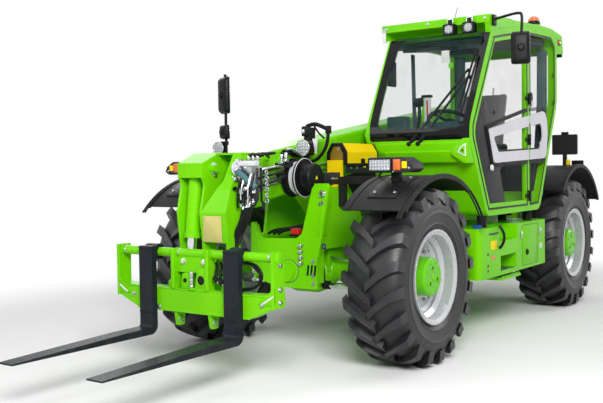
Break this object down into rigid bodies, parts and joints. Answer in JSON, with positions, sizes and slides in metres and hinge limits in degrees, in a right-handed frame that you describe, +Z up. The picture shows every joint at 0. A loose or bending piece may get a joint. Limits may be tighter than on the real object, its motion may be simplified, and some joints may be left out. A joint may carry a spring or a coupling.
{
  "type": "telehandler",
  "caption": "compact telescopic handler: side-mounted cab, low two-stage boom with fork carriage, four steered wheels with black arched fenders",
  "frame": {"origin": "bottom centre of the bounding box, on the ground between the wheels", "axes": "+Z up; -Y forward, the way the forks point; +X to the machine's left, the side with the cab"},
  "size_m": [2.5496, 6.23, 2.7043],
  "materials": {
    "amber_plastic": "amber lens",
    "lime_paint": "glossy lime green paint",
    "lamp_plastic": "lamp housings and lenses",
    "soft_rubber": "black rubber",
    "clear_glass": "tinted safety glass",
    "chrome_steel": "polished rod",
    "grey_plastic": "grey moulded plastic",
    "black_plastic": "moulded black plastic",
    "silver_paint": "silver paint",
    "iron": "machined iron",
    "charcoal_paint": "satin charcoal paint",
    "forged_steel": "dark forged steel",
    "tyre_rubber": "ribbed tread rubber",
    "seat_fabric": "grey woven fabric"
  },
  "bodies": {
    "frame": {"beacon": "amber_plastic", "cab_frame": "lime_paint", "cab_mounts": "soft_rubber", "cab_roof": "lime_paint", "cab_windows": "clear_glass", "chassis_frame": "lime_paint", "counterweight": "lime_paint", "dashboard": "grey_plastic", "door_hinges": "black_plastic", "engine_block": "iron", "engine_tray": "charcoal_paint", "front_axle": "lime_paint", "front_fenders": "black_plastic", "head_lamps": "lamp_plastic", "mirrors": "black_plastic", "plate_holder": "charcoal_paint", "rear_axle": "lime_paint", "rear_fenders": "black_plastic", "roof_guard": "lime_paint", "seat_backrest": "seat_fabric", "seat_base": "grey_plastic", "seat_cushion": "seat_fabric", "service_box": "charcoal_paint", "side_module": "lime_paint", "tail_lamps": "lamp_plastic", "window_trim": "silver_paint", "windscreen": "clear_glass", "work_lamps": "lamp_plastic"},
    "boom": {"boom_outer": "lime_paint", "hose_reel": "black_plastic", "boom_lamp": "lamp_plastic"},
    "extension": {"boom_inner": "lime_paint", "coupling_block": "chrome_steel"},
    "fork_carriage": {"carriage": "lime_paint"},
    "left_fork": {"fork_left": "forged_steel"},
    "right_fork": {"fork_right": "forged_steel"},
    "lift_barrel": {"lift_cylinder_barrel": "lime_paint"},
    "lift_rod": {"lift_cylinder_rod": "chrome_steel"},
    "tilt_barrel": {"tilt_cylinder_barrel": "lime_paint"},
    "tilt_rod": {"tilt_cylinder_rod": "chrome_steel"},
    "front_steer_rod": {"front_steering_rod": "chrome_steel"},
    "rear_steer_rod": {"rear_steering_rod": "chrome_steel"},
    "door": {"door_frame": "lime_paint", "door_glass": "clear_glass", "door_trim": "silver_paint", "door_leaves": "black_plastic"},
    "hood": {"engine_hood": "lime_paint"},
    "steering_wheel_body": {"steering_wheel": "black_plastic"},
    "front_left_hub": {"front_left_knuckle": "lime_paint"},
    "front_left_wheel_body": {"front_left_wheel": "silver_paint", "front_left_tyre": "tyre_rubber"},
    "front_right_hub": {"front_right_knuckle": "lime_paint"},
    "front_right_wheel_body": {"front_right_wheel": "silver_paint", "front_right_tyre": "tyre_rubber"},
    "rear_left_hub": {"rear_left_knuckle": "lime_paint"},
    "rear_left_wheel_body": {"rear_left_wheel": "silver_paint", "rear_left_tyre": "tyre_rubber"},
    "rear_right_hub": {"rear_right_knuckle": "lime_paint"},
    "rear_right_wheel_body": {"rear_right_wheel": "silver_paint", "rear_right_tyre": "tyre_rubber"}
  },
  "joints": [
    {"name": "boom_lift", "type": "hinge", "parent": "frame", "child": "boom", "pos_m": [-0.255, 2.655, 1.925], "axis": [-1, 0, 0], "range_deg": [0, 65]},
    {"name": "boom_extend", "type": "slide", "parent": "boom", "child": "extension", "axis": [0, -0.9888, -0.1495], "range_m": [0, 2.4]},
    {"name": "carriage_tilt", "type": "hinge", "parent": "extension", "child": "fork_carriage", "pos_m": [-0.255, -1.755, 0.62], "axis": [1, 0, 0], "range_deg": [-12, 75]},
    {"name": "left_fork_slide", "type": "slide", "parent": "fork_carriage", "child": "left_fork", "axis": [1, 0, 0], "range_m": [-0.1, 0.14]},
    {"name": "right_fork_slide", "type": "slide", "parent": "fork_carriage", "child": "right_fork", "axis": [1, 0, 0], "range_m": [-0.14, 0.1]},
    {"name": "lift_barrel_turn", "type": "hinge", "parent": "frame", "child": "lift_barrel", "pos_m": [-0.255, 2.555, 0.9], "axis": [1, 0, 0], "range_deg": [-33.53, 0]},
    {"name": "lift_rod_slide", "type": "slide", "parent": "lift_barrel", "child": "lift_rod", "axis": [0, -0.8158, 0.5783], "range_m": [0, 0.82738]},
    {"name": "tilt_barrel_turn", "type": "hinge", "parent": "extension", "child": "tilt_barrel", "pos_m": [-0.38, -1.73, 1.39], "axis": [1, 0, 0], "range_deg": [-3.21, 0.56]},
    {"name": "tilt_rod_slide", "type": "slide", "parent": "tilt_barrel", "child": "tilt_rod", "axis": [0, -0.1244, -0.9922], "range_m": [-0.02157, 0.12955]},
    {"name": "cab_door", "type": "hinge", "parent": "frame", "child": "door", "pos_m": [0.921, 1.081, 1.6], "axis": [0, 0, 1], "range_deg": [0, 80]},
    {"name": "hood_lift", "type": "hinge", "parent": "frame", "child": "hood", "pos_m": [-0.543, 0.785, 1.434], "axis": [0, 1, 0], "range_deg": [0, 60]},
    {"name": "steering_wheel_turn", "type": "hinge", "parent": "frame", "child": "steering_wheel_body", "pos_m": [0.415, 0.585, 1.745], "axis": [0, 0.5, 0.866], "continuous": true},
    {"name": "front_left_steer", "type": "hinge", "parent": "frame", "child": "front_left_hub", "pos_m": [0.555, -0.745, 0.62], "axis": [0, 0, 1], "range_deg": [-35, 35]},
    {"name": "front_left_roll", "type": "hinge", "parent": "front_left_hub", "child": "front_left_wheel_body", "pos_m": [0.725, -0.745, 0.62], "axis": [1, 0, 0], "continuous": true},
    {"name": "front_right_steer", "type": "hinge", "parent": "frame", "child": "front_right_hub", "pos_m": [-0.845, -0.745, 0.62], "axis": [0, 0, 1], "range_deg": [-35, 35]},
    {"name": "front_right_roll", "type": "hinge", "parent": "front_right_hub", "child": "front_right_wheel_body", "pos_m": [-1.015, -0.745, 0.62], "axis": [1, 0, 0], "continuous": true},
    {"name": "front_steer_rod_slide", "type": "slide", "parent": "frame", "child": "front_steer_rod", "axis": [1, 0, 0], "range_m": [-0.08624, 0.08624]},
    {"name": "rear_left_steer", "type": "hinge", "parent": "frame", "child": "rear_left_hub", "pos_m": [0.555, 2.295, 0.62], "axis": [0, 0, 1], "range_deg": [-35, 35]},
    {"name": "rear_left_roll", "type": "hinge", "parent": "rear_left_hub", "child": "rear_left_wheel_body", "pos_m": [0.725, 2.295, 0.62], "axis": [1, 0, 0], "continuous": true},
    {"name": "rear_right_steer", "type": "hinge", "parent": "frame", "child": "rear_right_hub", "pos_m": [-0.845, 2.295, 0.62], "axis": [0, 0, 1], "range_deg": [-35, 35]},
    {"name": "rear_right_roll", "type": "hinge", "parent": "rear_right_hub", "child": "rear_right_wheel_body", "pos_m": [-1.015, 2.295, 0.62], "axis": [1, 0, 0], "continuous": true},
    {"name": "rear_steer_rod_slide", "type": "slide", "parent": "frame", "child": "rear_steer_rod", "axis": [1, 0, 0], "range_m": [-0.08624, 0.08624]}
  ],
  "couplings": [
    {"joint": "lift_barrel_turn", "follows": "boom_lift", "ratio": -0.51512},
    {"joint": "lift_rod_slide", "follows": "boom_lift", "m_per_rad": 0.72887},
    {"joint": "tilt_barrel_turn", "follows": "carriage_tilt", "ratio": -0.042198},
    {"joint": "tilt_rod_slide", "follows": "carriage_tilt", "m_per_rad": 0.098208},
    {"joint": "front_right_steer", "follows": "front_left_steer", "ratio": 1},
    {"joint": "rear_right_steer", "follows": "rear_left_steer", "ratio": 1},
    {"joint": "front_steer_rod_slide", "follows": "front_left_steer", "m_per_rad": 0.14084},
    {"joint": "rear_steer_rod_slide", "follows": "rear_left_steer", "m_per_rad": -0.14084}
  ]
}
